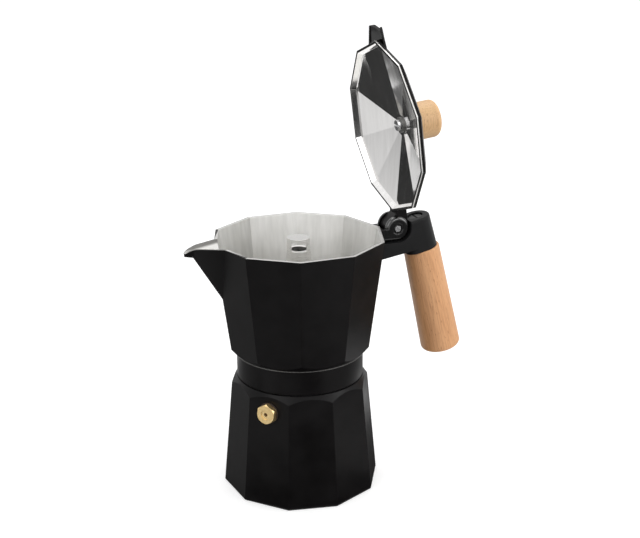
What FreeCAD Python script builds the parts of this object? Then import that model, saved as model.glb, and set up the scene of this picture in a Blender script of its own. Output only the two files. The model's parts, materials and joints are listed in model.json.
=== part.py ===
import FreeCAD, Part
import math
import os
import re

import Sketcher
from FreeCAD import Vector

# Moka pot in millimetres. The origin is the middle of the boiler's foot, +Z is up,
# +X points to the handle and -X to the spout. The lid stands open.

FACETS = 10
CLOSE = 0.01  # two places nearer than this are one

# Driving sizes: cell name, value, meaning.
SIZES = (
    ("base_radius", 53.0, "corner radius of the boiler's foot"),
    ("waist_radius", 45.9, "corner radius of the boiler facets at the shoulder"),
    ("shoulder_height", 77.2, "top of the boiler's turned shoulder"),
    ("shoulder_margin", 0.2, "step from the skirt out to the top of the shoulder"),
    ("shoulder_run", 6.4, "radial run of the shoulder's cone"),
    ("shoulder_drop", 8.0, "height of the shoulder's cone"),
    ("boiler_wall", 3.2, "wall of the boiler at the middle of a facet"),
    ("boiler_floor", 3.5, "floor of the boiler"),
    ("boiler_angle", -10.6, "angle at which the boiler's facets stop when screwed tight"),
    ("foot_bevel", 0.8, "bevel round the foot"),
    ("neck_length", 12.8, "height of the threaded neck above the shoulder"),
    ("basket_gap", 2.0, "room between the basket and the boiler's mouth"),
    ("thread_gap", 0.4, "radial room between neck and skirt, where the thread runs"),
    ("seat_gap", 0.1, "room between pieces that rest on one another and part"),
    ("press_gap", 0.03, "radial room in a fixed fit"),
    ("run_gap", 0.06, "radial room in a running fit"),
    ("valve_height", 65.0, "height of the safety valve on its facet"),
    ("valve_across", 12.0, "width across the flats of the valve's hexagon"),
    ("valve_hex_height", 3.6, "thickness of that hexagon"),
    ("valve_washer_height", 1.0, "thickness of the valve's washer"),
    ("valve_thread", 4.6, "radius of the valve's shank"),
    ("valve_shank", 9.0, "length of the shank below the facet"),
    ("valve_bore", 3.1, "radius of the chamber inside the valve"),
    ("valve_port", 1.5, "radius of the inlet to that chamber"),
    ("valve_seat_height", 3.0, "thickness of the wall that the poppet closes"),
    ("valve_boss", 8.0, "radius of the boss inside the boiler"),
    ("poppet_radius", 2.5, "radius of the poppet's disc"),
    ("poppet_disc", 1.5, "thickness of that disc"),
    ("poppet_stem", 0.9, "radius of the poppet's stem"),
    ("retainer_height", 1.0, "thickness of the ring in the valve's mouth"),
    ("vent_gap", 0.3, "radial room round the stem for the steam to leave by"),
    ("retainer_depth", 0.4, "depth of that ring below the hexagon's face"),
    ("spring_wire", 0.3, "radius of the valve spring's wire"),
    ("spring_radius", 1.9, "radius of the coil at the middle of its wire"),
    ("spring_pitch", 2.2, "rise of one turn of the coil"),
    ("basket_radius", 30.0, "inner radius of the funnel's basket"),
    ("basket_depth", 26.0, "depth of the basket"),
    ("funnel_wall", 1.0, "sheet of the funnel"),
    ("flange_inset", 1.1, "step from the neck in to the funnel's rim"),
    ("funnel_cone", 12.0, "height of the cone under the basket"),
    ("stem_bore", 4.2, "inner radius of the funnel's stem"),
    ("stem_clear", 7.0, "room between the stem's end and the boiler's floor"),
    ("plate_thickness", 0.8, "sheet of both perforated plates"),
    ("plate_ledge", 1.5, "width of the ledge under the basket's plate"),
    ("hole_radius", 1.1, "radius of the holes in both plates"),
    ("hole_pitch", 7.6, "radial step between the rings of holes"),
    ("gasket_lip", 1.4, "step from the basket out to the gasket's hole"),
    ("gasket_gap", 1.7, "room between the gasket and the skirt"),
    ("gasket_height", 4.0, "thickness of the gasket"),
    ("skirt_radius", 42.3, "outer radius of the collector's skirt"),
    ("skirt_wall", 2.6, "wall of the skirt"),
    ("skirt_gap", 0.8, "gap between the shoulder and the skirt"),
    ("land_drop", 0.9, "depth of the collector's step below the gasket's seat"),
    ("land_step", 1.2, "step from the skirt out to the bare ring"),
    ("land_width", 0.7, "height of that ring"),
    ("bevel_run", 5.6, "radial run of the cone under the collector's facets"),
    ("bevel_rise", 6.0, "height of that cone"),
    ("belly_radius", 46.95, "corner radius of the collector at the step"),
    ("rim_radius", 57.35, "corner radius of the collector's rim"),
    ("rim_height", 172.4, "height of the rim"),
    ("collector_wall", 2.0, "wall of the collector at the middle of a facet"),
    ("collector_floor", 3.0, "floor of the collector"),
    ("brew_room", 2.2, "height of the hollow above the filter plate"),
    ("spout_overlap", 11.35, "reach of the spout's hidden root inside the rim's corner"),
    ("spout_bend_length", 13.35, "reach of the bend below the pouring lip past that corner"),
    ("spout_length", 19.05, "reach of the pouring lip past that corner"),
    ("spout_root_width", 16.3, "half width of the spout at its root"),
    ("spout_bend_width", 4.4, "half width at the bend"),
    ("spout_tip_width", 4.2, "half width at the lip"),
    ("spout_root_depth", 47.6, "depth of the spout's keel at its root"),
    ("spout_bend_depth", 6.8, "depth of the keel at the bend"),
    ("spout_tip_depth", 5.6, "depth of the keel at the lip"),
    ("spout_wall", 1.5, "wall of the spout, measured across"),
    ("lip_offset", 9.15, "reach past that corner at which the lip begins to fall"),
    ("lip_curve", 17.0, "radius of the falling lip"),
    ("column_foot", 10.6, "radius of the column at the floor"),
    ("column_radius", 7.4, "radius of the column at its top"),
    ("column_wall", 1.9, "wall of the column at its top"),
    ("column_cap", 2.0, "thickness of the column's closed top"),
    ("column_drop", 0.9, "depth of the column's top below the rim"),
    ("spigot_radius", 8.4, "radius of the column's end in the floor"),
    ("outlet_width", 9.6, "width of the column's outlets"),
    ("outlet_height", 6.0, "height of the outlets"),
    ("outlet_angle", -17.0, "angle of the outlets from the pot's cross axis"),
    ("hinge_offset", 9.65, "distance of the hinge from the rim's corner"),
    ("hinge_drop", 0.4, "depth of the hinge below the rim"),
    ("ear_radius", 8.3, "radius of the hinge ears"),
    ("ear_outer", 8.5, "half distance between the ears' outer faces"),
    ("ear_thickness", 3.2, "thickness of an ear"),
    ("slot_room", 0.7, "room round the tongue where it turns between the ears"),
    ("ear_dish", 3.8, "radius of the dish in an ear's face"),
    ("ear_dish_depth", 0.8, "depth of that dish"),
    ("ear_round", 2.2, "rounding of an ear's rim"),
    ("tongue_gap", 0.3, "room beside the lid's tongue"),
    ("pin_radius", 1.5, "radius of the hinge pin"),
    ("pin_head", 2.0, "radius of the pin's riveted heads"),
    ("pin_head_height", 0.7, "height of those heads"),
    ("rib_width", 9.0, "thickness of the rib that carries the bracket"),
    ("rib_overhang", 3.5, "reach of that rib past the hinge"),
    ("rib_drop", 14.4, "depth of the rib's underside below the rim"),
    ("bracket_gap", 0.15, "room between the bracket and the casting"),
    ("bracket_half", 10.8, "half width of the bracket at its foot"),
    ("bracket_height", 22.8, "height of the bracket along the grip's axis"),
    ("bracket_draft_angle", 3.0, "draft of the bracket's sides in degrees"),
    ("bracket_round", 1.4, "rounding of the bracket's top"),
    ("socket_round", 7.0, "rounding of the socket's front corners"),
    ("bracket_face", 9.1, "distance of the bracket's front from the hinge"),
    ("arm_start", 20.2, "depth of the arm's underside below the rim at the pot's wall"),
    ("arm_end", 16.6, "depth of the arm's underside where it meets the socket"),
    ("arm_length", 8.2, "distance past the hinge at which arm and socket meet"),
    ("grip_offset", 21.0, "distance of the grip's top past the hinge"),
    ("grip_drop", 17.1, "depth of the grip's top below the rim"),
    ("grip_tilt", 12.8, "lean of the grip from upright"),
    ("grip_length", 76.2, "length of the grip"),
    ("grip_top", 12.2, "radius of the grip at its top"),
    ("grip_bottom", 13.8, "radius of the grip at its bottom"),
    ("grip_round", 3.2, "rounding of the grip's bottom edge"),
    ("grip_bevel", 0.7, "bevel of the grip's top edge"),
    ("grip_screw_radius", 2.2, "radius of the grip screw"),
    ("grip_screw_bite", 36.0, "length of that screw in the wood"),
    ("grip_head", 4.4, "radius of its head"),
    ("grip_head_height", 2.4, "height of its head"),
    ("grip_sink", 4.2, "depth of the counterbore for it"),
    ("slot_width", 1.0, "width of the screws' slots"),
    ("slot_depth", 0.9, "depth of the screws' slots"),
    ("washer_height", 0.9, "thickness of the washers under the long screws"),
    ("washer_margin", 0.7, "radial width of a washer outside its screw's head"),
    ("bracket_screw_offset", 5.0, "distance of the bracket screw before the hinge"),
    ("bracket_screw_radius", 2.0, "radius of the bracket screw"),
    ("bracket_screw_head", 3.6, "radius of its head"),
    ("bracket_screw_head_height", 1.7, "height of its head"),
    ("bracket_screw_bite", 4.6, "length of that screw in the rib"),
    ("bracket_floor", 1.8, "plastic between the screw's head and the rib"),
    ("lid_angle", 83.0, "angle at which the lid stands open"),
    ("lid_gap", 0.3, "room between the shut lid and the rim"),
    ("lid_inset", 0.35, "step from the rim's corners in to the lid's corners"),
    ("lid_wall", 1.6, "width of the lid's edge"),
    ("lid_skirt", 2.8, "height of the lid's upright edge"),
    ("lid_band_run", 8.6, "step from the lid's corners in to where its roof begins"),
    ("lid_band_height", 7.0, "height of that line above the lid's edge"),
    ("lid_top_radius", 10.0, "corner radius of the roof's flat top"),
    ("lid_top_height", 14.2, "height of that flat top"),
    ("lid_boss", 8.6, "radius of the round boss under the knob"),
    ("lid_boss_height", 1.8, "height of that boss"),
    ("lid_lining_run", 3.4, "step from the lid's corners in to the line where the hollow's roof begins"),
    ("lid_hollow_step", 3.2, "depth of the hollow at that line"),
    ("lid_hollow_top", 7.2, "corner radius of the hollow's flat middle"),
    ("lid_hollow_depth", 12.0, "depth of that flat middle"),
    ("hood_overlap", 17.0, "reach of the hood's root into the lid"),
    ("hood_length", 9.0, "reach of the hood's tip beyond the lid's corner"),
    ("hood_root_width", 15.4, "half width of the hood at its root"),
    ("hood_tip_width", 7.4, "half width of the hood at its tip"),
    ("hood_root_side", 3.6, "height of the hood's sides at its root"),
    ("hood_tip_side", 2.6, "height of the hood's sides at its tip"),
    ("hood_root_ridge", 8.4, "height of the hood's ridge at its root"),
    ("hood_tip_ridge", 6.0, "height of the ridge at its tip"),
    ("hood_wall", 2.0, "wall of the hood"),
    ("hood_notch", 3.6, "depth of the notch in the hood's tip"),
    ("hood_round", 1.2, "rounding of the two points beside that notch"),
    ("tongue_overlap", 15.0, "reach of the tongue's top into the lid's roof"),
    ("tongue_radius", 6.8, "radius of the tongue round the pin"),
    ("tongue_stop", 8.8, "height of the tongue's stop above the pin"),
    ("tongue_heel", 2.0, "reach of the stop behind the pin"),
    ("knob_radius", 12.4, "radius of the knob"),
    ("knob_neck", 11.4, "radius of the knob's foot"),
    ("knob_length", 21.0, "length of the knob"),
    ("knob_flare", 1.2, "height over which the knob widens"),
    ("knob_round", 3.6, "rounding of the knob's free end"),
    ("knob_screw_radius", 1.9, "radius of the knob's screw"),
    ("knob_screw_bite", 13.0, "length of that screw in the wood"),
    ("knob_head", 3.6, "radius of its head"),
    ("knob_head_height", 2.2, "height of its head"),
    ("knob_washer_margin", 1.5, "radial width of the washer outside that head"),
)

# Sizes that follow from the driving ones.
FITS = (
    ("shoulder_radius", "skirt_radius + shoulder_margin"),
    ("neck_bore", "basket_radius + funnel_wall + basket_gap"),
    ("neck_radius", "skirt_radius - skirt_wall - thread_gap"),
    ("neck_top", "shoulder_height + neck_length"),
    ("skirt_bottom", "shoulder_height + skirt_gap"),
    ("facet_cos", "cos(180 / %d)" % FACETS),
    ("cavity_low", "base_radius * facet_cos - boiler_wall"),
    ("cavity_high", "waist_radius * facet_cos - boiler_wall"),
    ("cavity_top", "shoulder_height - shoulder_drop"),
    ("cavity_crown", "shoulder_height - boiler_wall / 2"),
    ("facet_lean", "atan((base_radius - waist_radius) * facet_cos / (shoulder_height - foot_bevel)) / 1 deg"),
    ("facet_reach", "base_radius * facet_cos - (valve_height - foot_bevel) * tan(facet_lean)"),
    ("valve_facet", "360 / %d * 6.5" % FACETS),
    ("valve_angle", "boiler_angle + valve_facet"),
    ("valve_face", "valve_washer_height + valve_hex_height"),
    ("valve_flat", "valve_across / 2"),
    ("valve_corner", "valve_flat / cos(30)"),
    ("valve_seat", "valve_seat_height - valve_shank"),
    ("retainer_top", "valve_face - retainer_depth"),
    ("stem_top", "retainer_top - retainer_depth"),
    ("retainer_bottom", "retainer_top - retainer_height"),
    ("poppet_top", "valve_seat + poppet_disc"),
    ("spring_bottom", "poppet_top + spring_wire + run_gap"),
    ("spring_top", "retainer_bottom - spring_wire - run_gap"),
    ("funnel_flange", "neck_radius - flange_inset"),
    ("funnel_seat", "neck_top + seat_gap"),
    ("flange_top", "funnel_seat + funnel_wall"),
    ("basket_floor", "flange_top - basket_depth"),
    ("cone_foot", "basket_floor - funnel_cone"),
    ("funnel_outer", "basket_radius + funnel_wall"),
    ("stem_outer", "stem_bore + funnel_wall"),
    ("stem_end", "boiler_floor + stem_clear"),
    ("gasket_inner", "basket_radius + gasket_lip"),
    ("gasket_outer", "skirt_bore - gasket_gap"),
    ("gasket_bottom", "flange_top + seat_gap"),
    ("gasket_top", "gasket_bottom + gasket_height"),
    ("filter_bottom", "gasket_top - 2 * plate_thickness"),
    ("brew_ceiling", "gasket_top + seat_gap"),
    ("brew_radius", "gasket_inner - plate_ledge"),
    ("floor_bottom", "brew_ceiling + brew_room"),
    ("floor_top", "floor_bottom + collector_floor"),
    ("skirt_bore", "skirt_radius - skirt_wall"),
    ("land_height", "brew_ceiling - land_drop"),
    ("collector_lean", "(rim_radius - belly_radius) / (rim_height - land_height)"),
    ("hollow_low", "belly_radius + (floor_top - land_height) * collector_lean - collector_wall / facet_cos"),
    ("hollow_high", "rim_radius - collector_wall / facet_cos"),
    ("land_radius", "skirt_radius + land_step"),
    ("bevel_radius", "land_radius + bevel_run"),
    ("bevel_low", "land_height + land_width"),
    ("bevel_top", "bevel_low + bevel_rise"),
    ("spout_root", "rim_radius - spout_overlap"),
    ("spout_bend", "rim_radius + spout_bend_length"),
    ("spout_reach", "rim_radius + spout_length"),
    ("lip_start", "rim_radius + lip_offset"),
    ("channel_root_width", "spout_root_width - spout_wall"),
    ("channel_root_depth", "spout_root_depth * channel_root_width / spout_root_width"),
    ("channel_bend_width", "spout_bend_width - spout_wall"),
    ("channel_bend_depth", "spout_bend_depth * channel_bend_width / spout_bend_width"),
    ("channel_tip_width", "spout_tip_width - spout_wall"),
    ("channel_tip_depth", "spout_tip_depth - spout_wall"),
    ("column_top", "rim_height - column_drop"),
    ("column_bore", "column_radius - column_wall"),
    ("outlet_top", "column_top - column_cap"),
    ("outlet_bottom", "outlet_top - outlet_height"),
    ("outlet_half", "outlet_width / 2"),
    ("hinge_reach", "rim_radius + hinge_offset"),
    ("hinge_height", "rim_height - hinge_drop"),
    ("ear_inner", "ear_outer - ear_thickness"),
    ("ear_low", "hinge_height - ear_radius"),
    ("pin_seat", "ear_outer - ear_dish_depth"),
    ("pin_end", "pin_seat + pin_head_height"),
    ("ear_root", "rim_radius * facet_cos - collector_wall"),
    ("ear_slot", "hinge_reach - rim_radius"),
    ("rib_root", "ear_root - collector_wall"),
    ("rib_reach", "hinge_reach + rib_overhang"),
    ("rib_low", "rim_height - rib_drop"),
    ("slot_half", "rib_width / 2 + bracket_gap"),
    ("grip_reach", "hinge_reach + grip_offset"),
    ("grip_height", "rim_height - grip_drop"),
    ("arm_reach", "hinge_reach + arm_length"),
    ("arm_low", "rim_height - arm_start"),
    ("arm_high", "rim_height - arm_end"),
    ("arm_top", "ear_low - slot_room"),
    ("rib_seat", "rib_low - bracket_gap"),
    ("bracket_length", "grip_reach - ear_root + bracket_half"),
    ("bracket_front", "hinge_reach + bracket_face"),
    ("bracket_screw_reach", "hinge_reach - bracket_screw_offset"),
    ("bracket_screw_seat", "rib_seat - bracket_floor"),
    ("slot_half_width", "slot_width / 2"),
    ("grip_sink_radius", "grip_head + washer_margin + bracket_gap"),
    ("grip_washer_seat", "bracket_height - grip_sink"),
    ("grip_screw_seat", "grip_washer_seat + washer_height"),
    ("lid_edge", "rim_height + lid_gap"),
    ("lid_radius", "rim_radius - lid_inset"),
    ("lid_band", "lid_radius - lid_band_run"),
    ("lid_hollow", "lid_radius - lid_wall / facet_cos"),
    ("lid_hollow_band", "lid_radius - lid_lining_run"),
    ("lid_flat", "lid_edge + lid_top_height"),
    ("knob_seat", "lid_flat + lid_boss_height"),
    ("lid_ceiling", "lid_edge + lid_hollow_depth"),
    ("knob_washer_low", "lid_ceiling - washer_height"),
    ("knob_washer_radius", "knob_head + knob_washer_margin"),
    ("knob_top", "knob_seat + knob_length"),
    ("hood_root", "lid_radius - hood_overlap"),
    ("hood_reach", "lid_radius + hood_length"),
    ("tongue_root", "lid_radius - tongue_overlap"),
    ("tongue_half", "ear_inner - tongue_gap"),
    ("knuckle_side", "tongue_radius * sin(45)"),
    ("tongue_low", "lid_edge + lid_gap"),
)

doc = FreeCAD.newDocument("moka_pot")
sheet = doc.addObject("Spreadsheet::Sheet", "sizes")
NAMES = {line[0] for line in SIZES + FITS}


def spelled(rule, prefix="sizes."):
    """A rule with every size in it named as a cell of the sheet."""
    return re.sub("[a-z_]+", lambda word: prefix * (word[0] in NAMES) + word[0], rule)


for row, (name, value, meaning) in enumerate(SIZES, 1):
    sheet.set(f"A{row}", meaning)
    sheet.set(f"B{row}", str(value))
    sheet.setAlias(f"B{row}", name)
for row, (name, rule) in enumerate(FITS, len(SIZES) + 1):
    sheet.set(f"A{row}", name.replace("_", " "))
    sheet.set(f"B{row}", "=" + rule)
    sheet.setAlias(f"B{row}", name)
doc.recompute()


def amount(rule):
    """Value of a sum of sizes and numbers such as 'rim_height - lid_gap'."""
    total, sign = 0.0, 1
    for word in rule.split():
        if word in ("+", "-"):
            sign = 1 if word == "+" else -1
        else:
            total += sign * float(sheet.get(word) if word in NAMES else word)
    return total


def bind(thing, **rules):
    """Tie properties to rules; a double underscore in a property's name stands for a dot."""
    for name, rule in rules.items():
        thing.setExpression(name.replace("__", "."), spelled(rule))


def new_body(label):
    body = doc.addObject("PartDesign::Body", label)
    body.Label = label
    return body


def sketch_on(body, name, plane="XY_Plane", lift="0", frame=None):
    """Sketch on one of the body's origin planes, lifted off it or moved to a frame."""
    sketch = body.newObject("Sketcher::SketchObject", f"{body.Label}_{name}")
    origin = next(part for part in body.Origin.OriginFeatures if part.Role == plane)
    sketch.AttachmentSupport = (origin, [""])
    sketch.MapMode = "FlatFace"
    if frame:
        bind(sketch, AttachmentOffset=frame)
    else:
        bind(sketch, AttachmentOffset__Base__z=lift)
    return sketch


def constrain(sketch, rules):
    """Add constraints; a pair holds a constraint and the rule that drives it."""
    for rule in rules:
        if isinstance(rule, tuple):
            index = sketch.addConstraint(rule[0])
            sketch.setExpression(f"Constraints[{index}]", spelled(rule[1]))
        else:
            sketch.addConstraint(rule)


def held(part, point, place):
    """Constraints that hold a point of a curve at a pair of rules, where 0 is an axis."""
    rules = []
    for kind, axis, rule in (("DistanceX", -2, place[0]), ("DistanceY", -1, place[1])):
        if rule == "0":
            rules.append(Sketcher.Constraint("PointOnObject", part, point, axis))
        else:
            rules.append((Sketcher.Constraint(kind, -1, 1, part, point, amount(rule)), rule))
    return rules


def closed_lines(sketch, corners):
    """Closed chain of lines through points; returns the constraints that join them."""
    count = len(corners)
    for index, corner in enumerate(corners):
        sketch.addGeometry(Part.LineSegment(corner, corners[(index + 1) % count]))
    return [Sketcher.Constraint("Coincident", index, 2, (index + 1) % count, 1) for index in range(count)]


def outline(sketch, places):
    """Closed outline through corners given as pairs of rules."""
    rules = closed_lines(sketch, [Vector(amount(across), amount(along), 0) for across, along in places])
    for index, place in enumerate(places):
        rules += held(index, 1, place)
    constrain(sketch, rules)
    return sketch


def polygon(sketch, radius, sides=FACETS):
    """Regular polygon about the sketch's origin with a corner on its +X axis."""
    size = amount(radius)
    turns = [2 * math.pi * index / sides for index in range(sides)]
    rules = closed_lines(sketch, [Vector(size * math.cos(turn), size * math.sin(turn), 0) for turn in turns])
    ring = sketch.addGeometry(Part.Circle(Vector(), Vector(0, 0, 1), size), True)
    rules += [Sketcher.Constraint("PointOnObject", index, 1, ring) for index in range(sides)]
    rules += [Sketcher.Constraint("Equal", 0, index) for index in range(1, sides)]
    rules.append(Sketcher.Constraint("Coincident", ring, 3, -1, 1))
    rules.append(Sketcher.Constraint("PointOnObject", 0, 1, -1))
    rules.append((Sketcher.Constraint("Radius", ring, size), radius))
    constrain(sketch, rules)
    return sketch


def circle(sketch, radius, across="0", along="0"):
    """Circle whose centre is a pair of rules."""
    centre = Vector(amount(across), amount(along), 0)
    ring = sketch.addGeometry(Part.Circle(centre, Vector(0, 0, 1), amount(radius)))
    constrain(sketch, held(ring, 3, (across, along)) + [
        (Sketcher.Constraint("Radius", ring, amount(radius)), radius)])
    return sketch


def feature_on(body, kind, sketch, **settings):
    """Add a feature that works on a sketch and make sure that it grew or cut the body."""
    before = body.Tip.Shape.Volume if body.Tip else 0.0
    feature = body.newObject(f"PartDesign::{kind}", f"{sketch.Name}_{kind.lower()}")
    feature.Profile = sketch
    rules = {}
    for name, value in settings.items():
        if isinstance(value, str):
            rules[name] = value
        else:
            setattr(feature, name, value)
    bind(feature, **rules)
    doc.recompute()
    grows = kind in ("Pad", "Revolution", "AdditiveLoft")
    if not feature.Shape.isValid() or grows != (feature.Shape.Volume > before):
        raise ValueError(f"{feature.Name} did not shape {body.Label} as meant")
    return feature


def turn(body, places, name="profile", kind="Revolution"):
    """Turn an outline of (radius, height) pairs about the body's Z axis."""
    sketch = outline(sketch_on(body, name, "XZ_Plane"), places)
    return feature_on(body, kind, sketch, ReferenceAxis=(sketch, ["V_Axis"]), Angle=360.0)


def loft(body, sketches, kind="AdditiveLoft"):
    return feature_on(body, kind, sketches[0], Sections=list(sketches[1:]), Ruled=True)


def facet_rings(body, name, rings):
    """Sketches of the ten-sided ring at a list of (height, corner radius) pairs."""
    return [polygon(sketch_on(body, f"{name}_{index}", lift=height), radius)
            for index, (height, radius) in enumerate(rings)]


def slab(body, name, places, width, kind="Pad"):
    """Pad or pocket, to both sides of the pot's long plane, of an outline of (X, Z) pairs."""
    sketch = outline(sketch_on(body, name, "XZ_Plane"), places)
    return feature_on(body, kind, sketch, Length=width, Midplane=True)


def disc(body, name, radius, width, kind="Pad"):
    """Pad or pocket, to both sides of the pot's long plane, of a circle about the hinge."""
    sketch = circle(sketch_on(body, name, "XZ_Plane"), radius, "hinge_reach", "hinge_height")
    return feature_on(body, kind, sketch, Length=width, Midplane=True)


def soften(body, kind, size, chosen):
    """Fillet or Chamfer on the edges that a test picks."""
    base = body.Tip
    edges = [f"Edge{index}" for index, edge in enumerate(base.Shape.Edges, 1) if chosen(edge)]
    feature = body.newObject(f"PartDesign::{kind}", f"{base.Name}_{kind.lower()}")
    feature.Base = (base, edges)
    bind(feature, **{"Radius" if kind == "Fillet" else "Size": size})
    doc.recompute()
    if not edges or not feature.Shape.isValid():
        raise ValueError(f"{feature.Name} did not soften {body.Label}")


def at_height(rule):
    """Test for an edge that lies flat at a height."""
    return lambda edge: abs(edge.BoundBox.Center.z - amount(rule)) + edge.BoundBox.ZLength < CLOSE


# Boiler and its safety valve

def valve_frame(angle):
    """Frame on a boiler facet at the valve: its Z axis is the facet's outward normal."""
    return (f"placement(vector(facet_reach * cos({angle}); facet_reach * sin({angle}); valve_height); "
            f"rotation({angle}; 90 - facet_lean; 0))")


def make_boiler():
    """Ten-sided tapered vessel with a turned shoulder, a neck and a boss for the valve."""
    body = new_body("boiler")
    loft(body, facet_rings(body, "facets", (("0", "base_radius - foot_bevel"), ("foot_bevel", "base_radius"),
                                            ("shoulder_height", "waist_radius"))))
    turn(body, (("shoulder_radius", "shoulder_height"),
                ("shoulder_radius + shoulder_run", "shoulder_height"),
                ("shoulder_radius + shoulder_run", "shoulder_height - shoulder_drop")), "shoulder", "Groove")
    neck = circle(sketch_on(body, "neck", lift="shoulder_height"), "neck_radius")
    feature_on(body, "Pad", neck, Length="neck_length")
    turn(body, (("0", "boiler_floor"), ("cavity_low", "boiler_floor"), ("cavity_high", "cavity_top"),
                ("neck_bore", "cavity_crown"), ("neck_bore", "neck_top"), ("0", "neck_top")),
         "cavity", "Groove")
    boss = circle(sketch_on(body, "boss", frame=valve_frame("valve_facet")), "valve_boss")
    feature_on(body, "Pad", boss, Length="valve_shank", Reversed=True)
    hole = circle(sketch_on(body, "valve_hole", frame=valve_frame("valve_facet")), "valve_thread + press_gap")
    feature_on(body, "Pocket", hole, Length="valve_shank + boiler_wall")
    bind(body, Placement="placement(vector(0; 0; 0); rotation(vector(0; 0; 1); boiler_angle))")
    return body


def seat_on_valve(thing):
    bind(thing, Placement=valve_frame("valve_angle"))
    return thing


def make_valve_washer():
    body = new_body("valve_washer")
    turn(body, (("valve_thread + press_gap", "0"), ("valve_corner", "0"),
                ("valve_corner", "valve_washer_height"), ("valve_thread + press_gap", "valve_washer_height")))
    return seat_on_valve(body)


def make_valve_body():
    """Hexagon with bevelled corners, a plain shank and a chamber for poppet and spring."""
    body = new_body("valve_body")
    hexagon = polygon(sketch_on(body, "hexagon", lift="valve_washer_height"), "valve_corner", 6)
    feature_on(body, "Pad", hexagon, Length="valve_hex_height")
    turn(body, (("valve_flat", "valve_face"), ("valve_corner", "valve_face"),
                ("valve_corner", "valve_face - valve_corner + valve_flat")), "corners", "Groove")
    shank = circle(sketch_on(body, "shank", lift="valve_washer_height"), "valve_thread")
    feature_on(body, "Pad", shank, Length="valve_washer_height + valve_shank", Reversed=True)
    turn(body, (("0", "0 - valve_shank"), ("valve_port", "0 - valve_shank"), ("valve_port", "valve_seat"),
                ("valve_bore", "valve_seat"), ("valve_bore", "valve_face"), ("0", "valve_face")),
         "bore", "Groove")
    return seat_on_valve(body)


def make_valve_poppet():
    """Disc that closes the inlet, on a stem that runs through the retainer."""
    body = new_body("valve_poppet")
    turn(body, (("0", "valve_seat + run_gap"), ("poppet_radius", "valve_seat + run_gap"),
                ("poppet_radius", "poppet_top"), ("poppet_stem", "poppet_top"),
                ("poppet_stem", "stem_top"), ("0", "stem_top")))
    return seat_on_valve(body)


def make_valve_retainer():
    body = new_body("valve_retainer")
    turn(body, (("poppet_stem + vent_gap", "retainer_bottom"), ("valve_bore - press_gap", "retainer_bottom"),
                ("valve_bore - press_gap", "retainer_top"), ("poppet_stem + vent_gap", "retainer_top")))
    return seat_on_valve(body)


def arc_from(start, end, heading):
    """Arc between two points that leaves the first one along a unit vector."""
    chord = end - start
    along = heading.dot(chord) / chord.Length
    side = heading - chord * (along / chord.Length)
    bulge = chord.Length / 2 * math.tan(math.acos(along) / 2)
    return Part.Arc(start, (start + end) / 2 + side.normalize() * bulge, end).toShape()


def coil_path(radius, pitch, low, high):
    """Coil about the Z axis as pairs of tangent arcs, one pair to each quarter of a turn."""
    quarters = round(4 * (high - low) / pitch)
    points, headings, edges = [], [], []
    for quarter in range(quarters + 1):
        angle = quarter * math.pi / 2
        points.append(Vector(radius * math.cos(angle), radius * math.sin(angle),
                             low + (high - low) * quarter / quarters))
        headings.append(Vector(-radius * math.sin(angle), radius * math.cos(angle),
                               pitch / (2 * math.pi)).normalize())
    for start, end, leave, arrive in zip(points, points[1:], headings, headings[1:]):
        chord = end - start
        reach = chord.dot(leave + arrive)
        spread = 2 * (1 - leave.dot(arrive))
        handle = (math.sqrt(reach * reach + spread * chord.dot(chord)) - reach) / spread
        middle = (start + end + (leave - arrive) * handle) / 2
        edges.append(arc_from(start, middle, leave))
        edges.append(arc_from(end, middle, -arrive))
    return Part.Wire(Part.__sortEdges__(edges)), points[0], headings[0]


def make_valve_spring():
    """One unbroken coil of wire between the poppet's disc and the retainer."""
    path, start, heading = coil_path(amount("spring_radius"), amount("spring_pitch"),
                                     amount("spring_bottom"), amount("spring_top"))
    section = Part.Wire([Part.Circle(start, heading, amount("spring_wire")).toShape()])
    spring = doc.addObject("Part::Feature", "valve_spring")
    spring.Shape = path.makePipeShell([section], True, False)
    return seat_on_valve(spring)


# Funnel, gasket and plates

def make_funnel():
    """Spun basket with a flat rim, a ledge for its plate, a cone and a stem."""
    body = new_body("funnel")
    turn(body, (("stem_bore", "stem_end"), ("stem_outer", "stem_end"),
                ("stem_outer", "cone_foot - funnel_wall"), ("funnel_outer", "basket_floor - funnel_wall"),
                ("funnel_outer", "funnel_seat"), ("funnel_flange", "funnel_seat"),
                ("funnel_flange", "flange_top"), ("basket_radius", "flange_top"),
                ("basket_radius", "basket_floor"), ("basket_radius - plate_ledge", "basket_floor"),
                ("stem_bore", "cone_foot")))
    return body


def make_plate(label, radius, height):
    """Perforated plate with three rings of holes about a middle hole."""
    body = new_body(label)
    blank = circle(sketch_on(body, "disc", lift=height), radius)
    feature_on(body, "Pad", blank, Length="plate_thickness")
    middle = circle(sketch_on(body, "middle", lift=height), "hole_radius")
    feature_on(body, "Pocket", middle, Length="plate_thickness", Reversed=True)
    for ring in (1, 2, 3):
        sketch = sketch_on(body, f"ring_{ring}", lift=height)
        circle(sketch, "hole_radius", " + ".join(["hole_pitch"] * ring))
        hole = feature_on(body, "Pocket", sketch, Length="plate_thickness", Reversed=True)
        pattern = body.newObject("PartDesign::PolarPattern", f"{label}_holes_{ring}")
        pattern.Originals = [hole]
        pattern.Axis = (sketch, ["N_Axis"])
        pattern.Angle = 360
        pattern.Occurrences = 6 * ring
        body.Tip = pattern
        doc.recompute()
    return body


def make_gasket():
    body = new_body("gasket")
    turn(body, (("gasket_inner", "gasket_bottom"), ("gasket_outer", "gasket_bottom"),
                ("gasket_outer", "gasket_top"), ("gasket_inner", "gasket_top")))
    return body


# Collector and column

def spout_section(body, name, reach, width, depth):
    """Three-cornered section of the spout across the pot's long axis."""
    sketch = sketch_on(body, name, "YZ_Plane", lift=f"0 - {reach}")
    return outline(sketch, ((f"0 - {width}", "rim_height"), (width, "rim_height"),
                            ("0", f"rim_height - {depth}")))


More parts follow.
